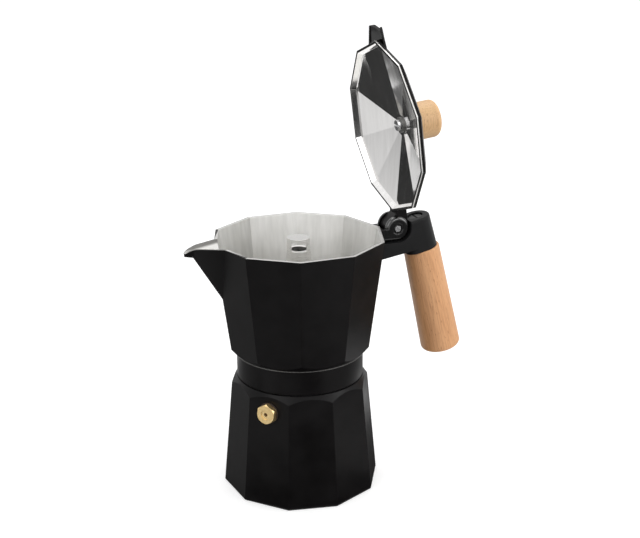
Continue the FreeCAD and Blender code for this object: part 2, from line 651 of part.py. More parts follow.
def add_ears(body):
    """Hinge ears on a web, with rounded rims, and the rib below them."""
    width = "2 * ear_outer"
    slab(body, "web", (("ear_root", "ear_low"), ("hinge_reach", "ear_low"),
                       ("hinge_reach", "hinge_height"), ("ear_root", "hinge_height")), width)
    disc(body, "ears", "ear_radius", width)
    soften(body, "Fillet", "ear_round", lambda edge: isinstance(edge.Curve, Part.Circle)
           and abs(edge.Curve.Radius - amount("ear_radius")) < CLOSE)
    slab(body, "rib", (("rib_root", "rib_low"), ("rib_reach", "rib_low"),
                       ("rib_reach", "ear_low"), ("rib_root", "ear_low")), "rib_width")


def cut_lip(body):
    """Let the top of the spout fall in an arc toward its tip."""
    sketch = sketch_on(body, "lip", "XZ_Plane")
    size = amount("lip_curve")
    centre = Vector(amount("0 - lip_start"), amount("rim_height - lip_curve"), 0)
    corners = [centre + Vector(0, size, 0), centre + Vector(0, 2 * size, 0),
               centre + Vector(-size, 2 * size, 0), centre + Vector(-size, 0, 0)]
    for start, end in zip(corners, corners[1:]):
        sketch.addGeometry(Part.LineSegment(start, end))
    ring = Part.Circle(centre, Vector(0, 0, 1), size)
    arc = sketch.addGeometry(Part.ArcOfCircle(ring, math.pi / 2, math.pi))
    rules = [Sketcher.Constraint("Coincident", first, 2, first + 1, 1) for first in (0, 1)]
    rules += [Sketcher.Constraint("Coincident", arc, 1, 0, 1),
              Sketcher.Constraint("Coincident", arc, 2, 2, 2),
              Sketcher.Constraint("Vertical", 0), Sketcher.Constraint("Vertical", 2),
              Sketcher.Constraint("Horizontal", 1), Sketcher.Constraint("Horizontal", arc, 2, arc, 3),
              Sketcher.Constraint("Vertical", arc, 1, arc, 3), Sketcher.Constraint("Equal", 0, 1)]
    rules += held(arc, 3, ("0 - lip_start", "rim_height - lip_curve"))
    rules.append((Sketcher.Constraint("Radius", arc, size), "lip_curve"))
    constrain(sketch, rules)
    feature_on(body, "Pocket", sketch, Length="2 * spout_root_width", Midplane=True)


def make_collector():
    """Ten-sided vessel with skirt, spout, hinge ears and the rib that carries the bracket."""
    body = new_body("collector")
    loft(body, facet_rings(body, "facets", (("land_height", "belly_radius"), ("rim_height", "rim_radius"))))
    turn(body, (("land_radius", "land_height"), ("bevel_radius", "land_height"),
                ("bevel_radius", "bevel_top"), ("land_radius", "bevel_low")), "bevel", "Groove")
    loft(body, (spout_section(body, "spout_root", "spout_root", "spout_root_width", "spout_root_depth"),
                spout_section(body, "spout_bend", "spout_bend", "spout_bend_width", "spout_bend_depth"),
                spout_section(body, "spout_tip", "spout_reach", "spout_tip_width", "spout_tip_depth")))
    add_ears(body)
    skirt = circle(sketch_on(body, "skirt", lift="skirt_bottom"), "skirt_radius")
    feature_on(body, "Pad", skirt, Length="bevel_low - skirt_bottom")
    loft(body, facet_rings(body, "hollow", (("floor_top", "hollow_low"), ("rim_height", "hollow_high"))),
         "SubtractiveLoft")
    loft(body, (spout_section(body, "channel_root", "spout_root", "channel_root_width", "channel_root_depth"),
                spout_section(body, "channel_bend", "spout_bend", "channel_bend_width", "channel_bend_depth"),
                spout_section(body, "channel_tip", "spout_reach + spout_wall", "channel_tip_width",
                              "channel_tip_depth")), "SubtractiveLoft")
    cut_lip(body)
    turn(body, (("0", "skirt_bottom"), ("skirt_bore", "skirt_bottom"), ("skirt_bore", "brew_ceiling"),
                ("brew_radius", "brew_ceiling"), ("spigot_radius + press_gap", "floor_bottom"),
                ("spigot_radius + press_gap", "floor_top"), ("0", "floor_top")), "underside", "Groove")
    disc(body, "slot", "ear_slot", "2 * ear_inner", "Pocket")
    disc(body, "pin_hole", "pin_radius + press_gap", "4 * ear_outer", "Pocket")
    for side in ("", "0 - "):
        sketch = sketch_on(body, "dish_far" if side else "dish_near", "XZ_Plane", lift=f"{side}ear_outer")
        circle(sketch, "ear_dish", "hinge_reach", "hinge_height")
        feature_on(body, "Pocket", sketch, Length="ear_dish_depth", Reversed=bool(side))
    hole = circle(sketch_on(body, "screw_hole", lift="rib_low"), "bracket_screw_radius + press_gap",
                  "bracket_screw_reach")
    feature_on(body, "Pocket", hole, Length="bracket_screw_bite", Reversed=True)
    return body


def make_column():
    """Tapered riser with a closed top, two outlets and an end that fits the collector's floor."""
    body = new_body("column")
    turn(body, (("column_bore", "floor_bottom"), ("spigot_radius", "floor_bottom"),
                ("spigot_radius", "floor_top"), ("column_foot", "floor_top"),
                ("column_radius", "column_top"), ("0", "column_top"),
                ("0", "outlet_top"), ("column_bore", "outlet_top")))
    slab(body, "outlets", (("0 - outlet_half", "outlet_bottom"), ("outlet_half", "outlet_bottom"),
                           ("outlet_half", "outlet_top"), ("0 - outlet_half", "outlet_top")),
         "4 * column_foot", "Pocket")
    bind(body, Placement="placement(vector(0; 0; 0); rotation(vector(0; 0; 1); outlet_angle))")
    return body


# Handle

def grip_frame(lift="0"):
    """Frame on the grip's leaning axis, lifted along it from the grip's top."""
    return (f"placement(vector(grip_reach - ({lift}) * sin(grip_tilt); 0; "
            f"grip_height + ({lift}) * cos(grip_tilt)); rotation(vector(0; 1; 0); -grip_tilt))")


def stadium(sketch, half, length):
    """Outline with one round end about the sketch's origin and a straight end on its -X side."""
    size, reach = amount(half), amount(length)
    corners = [Vector(0, size, 0), Vector(-reach, size, 0), Vector(-reach, -size, 0), Vector(0, -size, 0)]
    for start, end in zip(corners, corners[1:]):
        sketch.addGeometry(Part.LineSegment(start, end))
    ring = Part.Circle(Vector(), Vector(0, 0, 1), size)
    arc = sketch.addGeometry(Part.ArcOfCircle(ring, -math.pi / 2, math.pi / 2))
    rules = [Sketcher.Constraint("Coincident", first, 2, first + 1, 1) for first in (0, 1)]
    rules += [Sketcher.Constraint("Coincident", arc, 2, 0, 1),
              Sketcher.Constraint("Coincident", arc, 1, 2, 2),
              Sketcher.Constraint("Coincident", arc, 3, -1, 1),
              Sketcher.Constraint("PointOnObject", 0, 1, -2),
              Sketcher.Constraint("PointOnObject", 2, 2, -2), Sketcher.Constraint("Horizontal", 0),
              Sketcher.Constraint("Horizontal", 2), Sketcher.Constraint("Vertical", 1),
              (Sketcher.Constraint("Radius", arc, size), half),
              (Sketcher.Constraint("DistanceX", -1, 1, 1, 1, -reach), f"0 - {length}")]
    constrain(sketch, rules)
    return sketch


def make_handle_bracket():
    """Moulded bracket: a drafted block cut away round the hinge, under its arm and at the pot's wall."""
    body = new_body("handle_bracket")
    block = stadium(sketch_on(body, "block", frame=grip_frame()), "bracket_half", "bracket_length")
    feature_on(body, "Pad", block, Length="bracket_height", TaperAngle="0 - bracket_draft_angle")
    top = max(body.Tip.Shape.Faces, key=lambda face: face.CenterOfMass.z)
    soften(body, "Fillet", "bracket_round", lambda edge: any(edge.isSame(part) for part in top.Edges))
    width = "4 * bracket_half"
    slab(body, "hinge_room", (("ear_root - bracket_half", "arm_top"), ("hinge_reach", "arm_top"),
                              ("hinge_reach", "hinge_height"), ("bracket_front", "hinge_height"),
                              ("bracket_front", "rim_height + bracket_height"),
                              ("ear_root - bracket_half", "rim_height + bracket_height")), width, "Pocket")
    disc(body, "ear_room", "bracket_face", width, "Pocket")
    slab(body, "arm_room", (("ear_root", "arm_low"), ("arm_reach", "arm_high"),
                            ("arm_reach", "arm_low - bracket_height"),
                            ("ear_root - bracket_half", "arm_low - bracket_height"),
                            ("ear_root - bracket_half", "arm_low")), width, "Pocket")
    soften(body, "Fillet", "socket_round", lambda edge: edge.BoundBox.ZLength > edge.BoundBox.YLength
           and abs(edge.BoundBox.Center.x - amount("arm_reach")) + edge.BoundBox.XLength < CLOSE)
    slab(body, "rib_slot", (("rib_root", "rib_seat"), ("rib_reach + bracket_gap", "rib_seat"),
                            ("rib_reach + bracket_gap", "hinge_height"), ("rib_root", "hinge_height")),
         "2 * slot_half", "Pocket")
    loft(body, facet_rings(body, "wall", (("land_height", "belly_radius + bracket_gap"),
                                          ("rim_height", "rim_radius + bracket_gap"))), "SubtractiveLoft")
    sink = circle(sketch_on(body, "sink", frame=grip_frame("bracket_height")), "grip_sink_radius")
    feature_on(body, "Pocket", sink, Length="grip_sink")
    bore = circle(sketch_on(body, "bore", frame=grip_frame("bracket_height")),
                  "grip_screw_radius + bracket_gap")
    feature_on(body, "Pocket", bore, Length="2 * bracket_height")
    seat = circle(sketch_on(body, "screw_seat", lift="bracket_screw_seat"),
                  "bracket_screw_head + bracket_gap", "bracket_screw_reach")
    feature_on(body, "Pocket", seat, Length="bracket_height")
    hole = circle(sketch_on(body, "screw_hole", lift="bracket_screw_seat"),
                  "bracket_screw_radius + bracket_gap", "bracket_screw_reach")
    feature_on(body, "Pocket", hole, Length="2 * bracket_floor", Reversed=True)
    return body


def make_grip():
    """Turned wooden grip with a pilot hole for its screw."""
    body = new_body("grip")
    turn(body, (("grip_screw_radius + press_gap", "0"), ("grip_top", "0"), ("grip_bottom", "0 - grip_length"),
                ("0", "0 - grip_length"), ("0", "0 - grip_screw_bite - washer_height"),
                ("grip_screw_radius + press_gap", "0 - grip_screw_bite - washer_height")))
    soften(body, "Fillet", "grip_round", at_height("0 - grip_length"))
    soften(body, "Chamfer", "grip_bevel", lambda edge: at_height("0")(edge)
           and edge.Curve.Radius > amount("grip_head"))
    bind(body, Placement=grip_frame())
    return body


def make_washer(label, bore, radius, low, high):
    body = new_body(label)
    turn(body, ((bore, low), (radius, low), (radius, high), (bore, high)))
    return body


def make_screw(label, radius, tip, head, seat, top, groove):
    """Screw on the Z axis with a slotted head; tip, seat, top and groove are heights."""
    body = new_body(label)
    turn(body, (("0", tip), (radius, tip), (radius, seat), (head, seat), (head, top), ("0", top)))
    slab(body, "slot", (("0 - slot_half_width", groove), ("slot_half_width", groove),
                        ("slot_half_width", top), ("0 - slot_half_width", top)), f"4 * {head}", "Pocket")
    return body


def on_grip(body):
    bind(body, Placement=grip_frame())
    return body


def make_bracket_screw():
    body = make_screw("bracket_screw", "bracket_screw_radius", "rib_low + bracket_screw_bite - bracket_gap",
                      "bracket_screw_head", "bracket_screw_seat",
                      "bracket_screw_seat - bracket_screw_head_height",
                      "bracket_screw_seat - bracket_screw_head_height + slot_depth")
    bind(body, Placement__Base__x="bracket_screw_reach")
    return body


# Lid

def swing(body):
    """Turn a piece of the lid, drawn shut, to its open rest about the hinge."""
    bind(body, Placement="placement(vector(0; 0; 0); rotation(vector(0; 1; 0); lid_angle); "
                         "vector(hinge_reach; 0; hinge_height))")
    return body


def gable(body, name, reach, half, side, ridge, foot):
    """House-shaped section of the hood across the pot's long axis, above the lid's edge."""
    sketch = sketch_on(body, name, "YZ_Plane", lift=f"0 - {reach}")
    return outline(sketch, ((f"0 - {half}", foot), (half, foot), (half, f"lid_edge + {side}"),
                            ("0", f"lid_edge + {ridge}"), (f"0 - {half}", f"lid_edge + {side}")))


def add_hood(body):
    """Gabled hood over the spout, open below and in front, with a notched front edge."""
    loft(body, (gable(body, "hood_root", "hood_root", "hood_root_width", "hood_root_side", "hood_root_ridge",
                      "lid_edge"),
                gable(body, "hood_tip", "hood_reach", "hood_tip_width", "hood_tip_side", "hood_tip_ridge",
                      "lid_edge")))
    loft(body, (gable(body, "hood_room", "hood_root", "hood_root_width - hood_wall",
                      "hood_root_side - hood_wall", "hood_root_ridge - hood_wall", "lid_edge - hood_wall"),
                gable(body, "hood_mouth", "hood_reach", "hood_tip_width - hood_wall",
                      "hood_tip_side - hood_wall", "hood_tip_ridge - hood_wall", "lid_edge - hood_wall")),
         "SubtractiveLoft")
    notch = outline(sketch_on(body, "notch", lift="lid_edge"), (
        ("0 - hood_reach", "hood_tip_width - hood_wall"), ("hood_notch - hood_reach", "0"),
        ("0 - hood_reach", "hood_wall - hood_tip_width")))
    feature_on(body, "Pocket", notch, Length="hood_root_ridge", Reversed=True)
    soften(body, "Fillet", "hood_round", lambda edge: edge.BoundBox.XMax < CLOSE - amount("hood_reach")
           and abs(edge.BoundBox.Center.y) > amount("hood_tip_width") - CLOSE)


def make_lid():
    """Ten-sided hollow lid with a boss for the knob, the hood and the hinge tongue."""
    body = new_body("lid")
    add_hood(body)
    loft(body, facet_rings(body, "roof", (("lid_edge", "lid_radius"), ("lid_edge + lid_skirt", "lid_radius"),
                                          ("lid_edge + lid_band_height", "lid_band"),
                                          ("lid_flat", "lid_top_radius"))))
    boss = circle(sketch_on(body, "boss", lift="lid_ceiling"), "lid_boss")
    feature_on(body, "Pad", boss, Length="knob_seat - lid_ceiling")
    slab(body, "tongue", (("tongue_root", "tongue_low"), ("rim_radius + lid_gap", "tongue_low"),
                          ("hinge_reach - knuckle_side", "hinge_height - knuckle_side"),
                          ("hinge_reach + tongue_heel", "hinge_height"),
                          ("hinge_reach + tongue_heel", "hinge_height + tongue_stop"),
                          ("tongue_root", "hinge_height + tongue_stop")), "2 * tongue_half")
    disc(body, "knuckle", "tongue_radius", "2 * tongue_half")
    loft(body, facet_rings(body, "hollow", (("lid_edge", "lid_hollow"), ("lid_edge + lid_hollow_step",
                                                                         "lid_hollow_band"),
                                            ("lid_ceiling", "lid_hollow_top"))), "SubtractiveLoft")
    disc(body, "pin_hole", "pin_radius + run_gap", "4 * tongue_half", "Pocket")
    hole = circle(sketch_on(body, "screw_hole", lift="lid_ceiling"), "knob_screw_radius + bracket_gap")
    feature_on(body, "Pocket", hole, Length="knob_seat - lid_ceiling", Reversed=True)
    return swing(body)


def make_knob():
    """Turned wooden knob with a pilot hole for its screw."""
    body = new_body("knob")
    turn(body, (("knob_screw_radius + press_gap", "knob_seat"), ("knob_neck", "knob_seat"),
                ("knob_radius", "knob_seat + knob_flare"), ("knob_radius", "knob_top"), ("0", "knob_top"),
                ("0", "knob_seat + knob_screw_bite + washer_height"),
                ("knob_screw_radius + press_gap", "knob_seat + knob_screw_bite + washer_height")))
    soften(body, "Fillet", "knob_round", at_height("knob_top"))
    return swing(body)


def make_hinge_pin():
    """Pin with two riveted heads that lie in the ears' dishes."""
    body = new_body("hinge_pin")
    turn(body, (("0", "0 - pin_end"), ("pin_head", "0 - pin_end"), ("pin_head", "0 - pin_seat"),
                ("pin_radius", "0 - pin_seat"), ("pin_radius", "pin_seat"), ("pin_head", "pin_seat"),
                ("pin_head", "pin_end"), ("0", "pin_end")))
    bind(body, Placement="placement(vector(hinge_reach; 0; hinge_height); rotation(vector(1; 0; 0); 90))")
    return body


pieces = [
    make_boiler(),
    make_valve_washer(),
    make_valve_body(),
    make_valve_poppet(),
    make_valve_spring(),
    make_valve_retainer(),
    make_funnel(),
    make_plate("funnel_plate", "basket_radius - press_gap", "basket_floor"),
    make_gasket(),
    make_plate("filter_plate", "gasket_inner - press_gap", "filter_bottom"),
    make_collector(),
    make_column(),
    make_handle_bracket(),
    make_grip(),
    on_grip(make_washer("grip_washer", "grip_screw_radius + bracket_gap", "grip_head + washer_margin",
                        "grip_washer_seat", "grip_screw_seat")),
    on_grip(make_screw("grip_screw", "grip_screw_radius", "0 - grip_screw_bite", "grip_head",
                       "grip_screw_seat", "grip_screw_seat + grip_head_height",
                       "grip_screw_seat + grip_head_height - slot_depth")),
    make_bracket_screw(),
    make_hinge_pin(),
    make_lid(),
    make_knob(),
    swing(make_washer("knob_washer", "knob_screw_radius + bracket_gap", "knob_washer_radius",
                      "knob_washer_low", "lid_ceiling")),
    swing(make_screw("knob_screw", "knob_screw_radius", "knob_seat + knob_screw_bite", "knob_head",
                     "knob_washer_low", "knob_washer_low - knob_head_height",
                     "knob_washer_low - knob_head_height + slot_depth")),
]
doc.recompute()

for thing in doc.Objects:
    if "Invalid" in thing.State or "Error" in thing.State:
        raise ValueError(f"{thing.Name} could not be built")
os.makedirs("parts", exist_ok=True)
for piece in pieces:
    shape = piece.Shape
    if shape.isNull() or not shape.isValid() or len(shape.Solids) != 1:
        raise ValueError(f"{piece.Label} is not one sound solid")
    shape.exportStep(f"parts/{piece.Label}.step")
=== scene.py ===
"""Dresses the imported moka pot: its finishes, three added pieces, the camera and a plain studio."""

import json
import math

import bpy
import numpy as np
from mathutils import Matrix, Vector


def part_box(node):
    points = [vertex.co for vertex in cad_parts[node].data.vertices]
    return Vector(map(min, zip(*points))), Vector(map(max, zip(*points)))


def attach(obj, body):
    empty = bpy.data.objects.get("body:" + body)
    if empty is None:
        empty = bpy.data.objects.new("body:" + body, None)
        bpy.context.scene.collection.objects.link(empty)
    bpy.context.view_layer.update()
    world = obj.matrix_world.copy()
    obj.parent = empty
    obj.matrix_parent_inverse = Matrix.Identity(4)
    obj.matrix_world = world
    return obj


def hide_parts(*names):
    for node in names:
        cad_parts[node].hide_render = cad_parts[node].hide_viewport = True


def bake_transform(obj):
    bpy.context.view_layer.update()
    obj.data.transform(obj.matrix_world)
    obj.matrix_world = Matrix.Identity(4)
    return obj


MM = 0.001
MICRON = 0.000001
FACETS = 10

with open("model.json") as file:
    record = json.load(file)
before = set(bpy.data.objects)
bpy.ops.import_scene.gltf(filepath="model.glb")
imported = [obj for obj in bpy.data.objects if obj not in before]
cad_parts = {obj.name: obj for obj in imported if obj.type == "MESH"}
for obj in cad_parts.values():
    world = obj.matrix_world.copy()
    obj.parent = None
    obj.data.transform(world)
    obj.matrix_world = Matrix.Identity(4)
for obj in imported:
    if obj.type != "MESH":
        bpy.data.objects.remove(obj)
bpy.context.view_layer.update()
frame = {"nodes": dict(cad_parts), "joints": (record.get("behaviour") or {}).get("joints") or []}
nodes = frame["nodes"]
joints = {joint["name"]: joint for joint in frame["joints"]}

# Sizes of the castings that the frame doesn't name, in metres.
COLUMN_DROP = 0.9 * MM  # the column's top below the rim
FLOOR_RISE = 5.3 * MM  # the collector's floor above the gasket
LAND_DROP = 0.8 * MM  # the bare ring's lower edge below the gasket's top
LAND_WIDTH = 0.7 * MM
NECK_STEP = 1.3 * MM  # from the gasket's edge out to the neck
NECK_LENGTH = 12.8 * MM
WALL = 2.0 * MM
LID_GAP = 0.3 * MM  # the lid's lower edge above the rim
LID_CORNER = 57.0 * MM  # the lid's corners from the pot's axis
SIDE_SLOPE = (55.0 - 45.2) / 78.0  # how the collector's sides draw in below the rim
GRIP_LEAN = math.radians(-12.8)

# Places on the pot in metres, read from the frame.
hinge_place = np.array(joints["lid_hinge"]["pos_m"])
lid_swing = math.radians(-joints["lid_hinge"]["range_deg"][0])
rim_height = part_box("column")[1].z + COLUMN_DROP
floor_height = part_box("gasket")[1].z + FLOOR_RISE
land_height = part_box("gasket")[1].z - LAND_DROP
neck_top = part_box("boiler")[1].z
neck_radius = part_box("gasket")[1].x + NECK_STEP
shoulder_height = neck_top - NECK_LENGTH
lid_edge = rim_height + LID_GAP
lid_reach = LID_CORNER * math.cos(math.pi / FACETS)

# Camera, from the photograph's vanishing lines: millimetres, degrees, and the lens in pixels.
PHOTO_WIDTH = 640
CAMERA_AIM = (13.0, -4.8, 149.5)
CAMERA_TURN, CAMERA_RISE, CAMERA_ROLL = -20.32, 18.53, -0.33
CAMERA_DISTANCE = 774.56
CAMERA_LENS = 1180.38
SENSOR = 36.0


def facing(right, up, back, place):
    """Matrix of an object at a place, with right, up and back as its own three axes."""
    matrix = np.eye(4)
    matrix[:3] = np.column_stack((right, up, back, place))
    return Matrix(matrix.tolist())


def place_camera():
    """Camera at the photograph's viewpoint, from its turn, its rise and its roll about the aim."""
    turn, rise, roll = np.radians((CAMERA_TURN, CAMERA_RISE, CAMERA_ROLL))
    back = np.array((math.sin(turn) * math.cos(rise), -math.cos(turn) * math.cos(rise),
                     math.sin(rise)))
    side = np.array((math.cos(turn), math.sin(turn), 0.0))
    up = np.cross(back, side)
    right = side * math.cos(roll) + up * math.sin(roll)
    upright = up * math.cos(roll) - side * math.sin(roll)
    eye = (np.array(CAMERA_AIM) + back * CAMERA_DISTANCE) * MM
    lens = bpy.data.cameras.new("viewpoint")
    lens.sensor_width = SENSOR
    lens.lens = CAMERA_LENS * SENSOR / PHOTO_WIDTH
    camera = bpy.data.objects.new("viewpoint", lens)
    camera.matrix_world = facing(right, upright, back, eye)
    bpy.context.scene.collection.objects.link(camera)
    bpy.context.scene.camera = camera


# Finishes

MIDDLE = (0.3, 0.7)  # the range that holds most of a noise pattern
PLAIN = (1.0, 1.0, 1.0)  # a tint that changes nothing
EDGE_SAMPLES = 6
# Sockets of a colour Mix node, whose names its other kinds share.
MIX_SHARE, MIX_FIRST, MIX_SECOND, MIX_RESULT = 0, 6, 7, 2


class Finish:
    """A material under way: its shader and the short steps that wire a pattern into it."""

    def __init__(self, name, colour, metal=0.0, rough=0.5, specular=0.5):
        self.material = bpy.data.materials.new(name)
        self.material.use_nodes = True
        self.tree = self.material.node_tree
        self.shader = self.tree.nodes["Principled BSDF"]
        self.set("Base Color", (*colour, 1.0))
        self.set("Metallic", metal)
        self.set("Roughness", rough)
        self.set("Specular IOR Level", specular)

    def set(self, name, value):
        """One value for the whole surface, on the shader's own socket."""
        self.shader.inputs[name].default_value = value

    def node(self, kind, **settings):
        made = self.tree.nodes.new(f"ShaderNode{kind}")
        for name, value in settings.items():
            setattr(made, name, value)
        return made

    def join(self, source, target):
        self.tree.links.new(source, target)

    def place(self):
        """Places on the piece in the shared frame."""
        return self.node("TexCoord").outputs["Object"]

    def noise(self, stretch, turn=(0.0, 0.0, 0.0), detail=3.0):
        """Noise on the piece's own place, with a frequency per metre along each turned axis."""
        mapping = self.node("Mapping", vector_type="TEXTURE")
        mapping.inputs["Rotation"].default_value = turn
        mapping.inputs["Scale"].default_value = [1.0 / value for value in stretch]
        pattern = self.node("TexNoise")
        pattern.inputs["Scale"].default_value = 1.0
        pattern.inputs["Detail"].default_value = detail
        self.join(self.place(), mapping.inputs["Vector"])
        self.join(mapping.outputs["Vector"], pattern.inputs["Vector"])
        return pattern.outputs["Fac"]

    def mapped(self, value, start, end, low=0.0, high=1.0):
        """Carry the range of a value from start and end over to low and high."""
        ranged = self.node("MapRange")
        ranged.inputs["From Min"].default_value = start
        ranged.inputs["From Max"].default_value = end
        ranged.inputs["To Min"].default_value = low
        ranged.inputs["To Max"].default_value = high
        self.join(value, ranged.inputs["Value"])
        return ranged.outputs["Result"]

    def shades(self, fac, *stops):
        """Colour ramp through (place, colour) stops."""
        ramp = self.node("ValToRGB")
        elements = ramp.color_ramp.elements
        while len(elements) < len(stops):
            elements.new(0.5)
        for element, (place, colour) in zip(elements, stops):
            element.position = place
            element.color = (*colour, 1.0)
        self.join(fac, ramp.inputs["Fac"])
        return ramp.outputs["Color"]

    def tones(self, fac, dark, light):
        """Two colours across the middle range of a pattern."""
        return self.shades(fac, (MIDDLE[0], dark), (MIDDLE[1], light))

    def product(self, first, second):
        """One colour tinted by another."""
        mix = self.node("Mix", data_type="RGBA", blend_type="MULTIPLY")
        mix.inputs[MIX_SHARE].default_value = 1.0
        self.join(first, mix.inputs[MIX_FIRST])
        self.join(second, mix.inputs[MIX_SECOND])
        return mix.outputs[MIX_RESULT]

    def relief(self, fac, depth, edge):
        """Bump of a depth in metres, over edges softened by a radius in metres."""
        bump = self.node("Bump")
        bump.inputs["Strength"].default_value = 1.0
        bump.inputs["Distance"].default_value = depth
        soft = self.node("Bevel", samples=EDGE_SAMPLES)
        soft.inputs["Radius"].default_value = edge
        self.join(fac, bump.inputs["Height"])
        self.join(soft.outputs["Normal"], bump.inputs["Normal"])
        self.join(bump.outputs["Normal"], self.shader.inputs["Normal"])

    def colour(self, socket):
        self.join(socket, self.shader.inputs["Base Color"])

    def rough(self, fac, low, high):
        """Roughness from low to high across the middle range of a pattern."""
        self.join(self.mapped(fac, *MIDDLE, low, high), self.shader.inputs["Roughness"])


def black_enamel():
    """Satin black enamel over cast metal: faint mottling, fine orange peel and soft edges."""
    finish = Finish("black_enamel", (0.005, 0.0046, 0.0048), rough=0.36, specular=0.12)
    mottling = finish.noise((60, 60, 60))
    finish.colour(finish.tones(mottling, (0.0038, 0.0034, 0.0035), (0.0064, 0.0058, 0.006)))
    finish.rough(mottling, 0.3, 0.4)
    orange_peel = finish.noise((1400, 1400, 1400), detail=2.0)
    finish.relief(orange_peel, depth=4 * MICRON, edge=0.5 * MM)
    return finish.material


def gloss_black():
    """Gloss black enamel, for the hinge ears and the underside of the hood."""
    finish = Finish("gloss_black", (0.0035, 0.0035, 0.0035), rough=0.16, specular=0.9)
    finish.rough(finish.noise((150, 150, 150)), 0.08, 0.16)
    orange_peel = finish.noise((1200, 1200, 1200), detail=2.0)
    finish.relief(orange_peel, depth=3 * MICRON, edge=0.4 * MM)
    return finish.material


def drawn_aluminium():
    """Bare cast wall with upright drawn streaks, pale and a little cloudy."""
    finish = Finish("drawn_aluminium", (0.74, 0.73, 0.71), metal=1.0, rough=0.4)
    streak = finish.noise((260, 260, 7), detail=4.0)
    cloud = finish.noise((70, 70, 30))
    tone = finish.tones(streak, (0.66, 0.655, 0.64), (0.78, 0.775, 0.76))
    tint = finish.tones(cloud, (0.9, 0.9, 0.89), PLAIN)
    finish.colour(finish.product(tone, tint))
    finish.rough(streak, 0.38, 0.48)
    finish.relief(streak, depth=6 * MICRON, edge=0.4 * MM)
    return finish.material


def spout_aluminium():
    """Bare pouring channel: a painted highlight along its bottom and painted shade near the rim,
    with a cast skin.
    """
    finish = Finish("spout_aluminium", (0.4, 0.395, 0.385), metal=1.0, rough=0.55)
    # Painted light: the channel is lighter along its bottom as a painted highlight, and darker near
    # the rim as painted shade.
    painted_highlight, dull = (0.62, 0.615, 0.6), (0.17, 0.167, 0.16)
    highlight_below, shade_above = rim_height - 3.0 * MM, rim_height - 1.6 * MM
    upright = finish.node("SeparateXYZ")
    finish.join(finish.place(), upright.inputs["Vector"])
    rise = finish.mapped(upright.outputs["Z"], highlight_below, shade_above)
    tone = finish.shades(rise, (0.0, painted_highlight), (1.0, dull))
    cloud = finish.noise((300, 300, 300))
    skin = finish.tones(cloud, (0.86, 0.86, 0.85), PLAIN)
    finish.colour(finish.product(tone, skin))
    finish.rough(cloud, 0.48, 0.6)
    finish.relief(cloud, depth=6 * MICRON, edge=0.3 * MM)
    return finish.material


def turned_aluminium():
    """Bare metal with fine even tooling, for the funnel, plates, column and neck."""
    finish = Finish("turned_aluminium", (0.78, 0.77, 0.75), metal=1.0, rough=0.3)
    grain = finish.noise((90, 90, 2400), detail=4.0)
    finish.colour(finish.tones(grain, (0.74, 0.73, 0.71), (0.84, 0.83, 0.81)))
    finish.rough(grain, 0.26, 0.34)
    finish.relief(grain, depth=2 * MICRON, edge=0.3 * MM)
    return finish.material


def polished_aluminium():
    """Mirror-bright inside of the lid, with faint polishing haze."""
    finish = Finish("polished_aluminium", (0.86, 0.85, 0.84), metal=1.0, rough=0.08)
    haze = finish.noise((45, 260, 45), detail=4.0)
    finish.colour(finish.tones(haze, (0.8, 0.79, 0.78), (0.9, 0.89, 0.88)))
    finish.rough(haze, 0.04, 0.1)
    finish.relief(haze, depth=4 * MICRON, edge=0.3 * MM)
    return finish.material


def moulded_plastic():
    """Matte dark plastic with a fine moulded grain."""
    finish = Finish("moulded_plastic", (0.007, 0.007, 0.0073), rough=0.5, specular=0.16)
    cloud = finish.noise((80, 80, 80))
    finish.colour(finish.tones(cloud, (0.0058, 0.0058, 0.006), (0.0084, 0.0084, 0.0088)))
    finish.rough(cloud, 0.42, 0.55)
    grain = finish.noise((2200, 2200, 2200), detail=2.0)
    finish.relief(grain, depth=10 * MICRON, edge=0.6 * MM)
    return finish.material


def beech(name, turn, dark, middle, light):
    """Oiled beech: bands of three tones, fine pores and short dark flecks along a turned axis."""
    finish = Finish(name, middle, rough=0.5)
    band = finish.noise((55, 160, 5), turn, detail=4.0)
    pore = finish.noise((1500, 1500, 60), turn)
    fleck = finish.noise((900, 2600, 260), turn, detail=1.0)
    tone = finish.shades(band, (0.25, dark), (0.5, middle), (0.75, light))
    pores = finish.shades(pore, (0.36, (0.84, 0.8, 0.76)), (0.56, PLAIN))
    flecks = finish.shades(fleck, (0.24, (0.66, 0.56, 0.48)), (0.34, PLAIN))
    finish.colour(finish.product(finish.product(tone, pores), flecks))
    finish.rough(pore, 0.42, 0.58)
    finish.relief(pore, depth=30 * MICRON, edge=0.6 * MM)
    return finish.material


def plain_metal(name, dark, light, low, high, depth=6 * MICRON):
    """Turned small piece: two tones, roughness from low to high, tool marks of a depth."""
    finish = Finish(name, light, metal=1.0, rough=high)
    grain = finish.noise((900, 900, 900))
    finish.colour(finish.tones(grain, dark, light))
    finish.rough(grain, low, high)
    finish.relief(grain, depth, edge=0.2 * MM)
    return finish.material


def soft_seal(name, dark, light):
    """Rubber or fibre seal with a dusty, uneven skin."""
    finish = Finish(name, light, rough=0.7)
    dust = finish.noise((700, 700, 700), detail=4.0)
    finish.colour(finish.tones(dust, dark, light))
    finish.relief(dust, depth=20 * MICRON, edge=0.3 * MM)
    return finish.material


# Painting the solids, with some faces of the castings left bare

# How far the normal of a face rises when it looks up a little, slopes or lies level.
HINT, SLOPE, LEVEL = 0.05, (0.2, 0.6), 0.9


def faces_of(node):
    """Centres and outward normals of a node's faces."""
    polygons = nodes[node].data.polygons
    centre = np.empty(len(polygons) * 3)
    normal = np.empty(len(polygons) * 3)
    polygons.foreach_get("center", centre)
    polygons.foreach_get("normal", normal)
    return centre.reshape(-1, 3), normal.reshape(-1, 3)


def points_of(node):
    """Corners of a node's mesh."""
    vertices = nodes[node].data.vertices
    place = np.empty(len(vertices) * 3)
    vertices.foreach_get("co", place)
    return place.reshape(-1, 3)


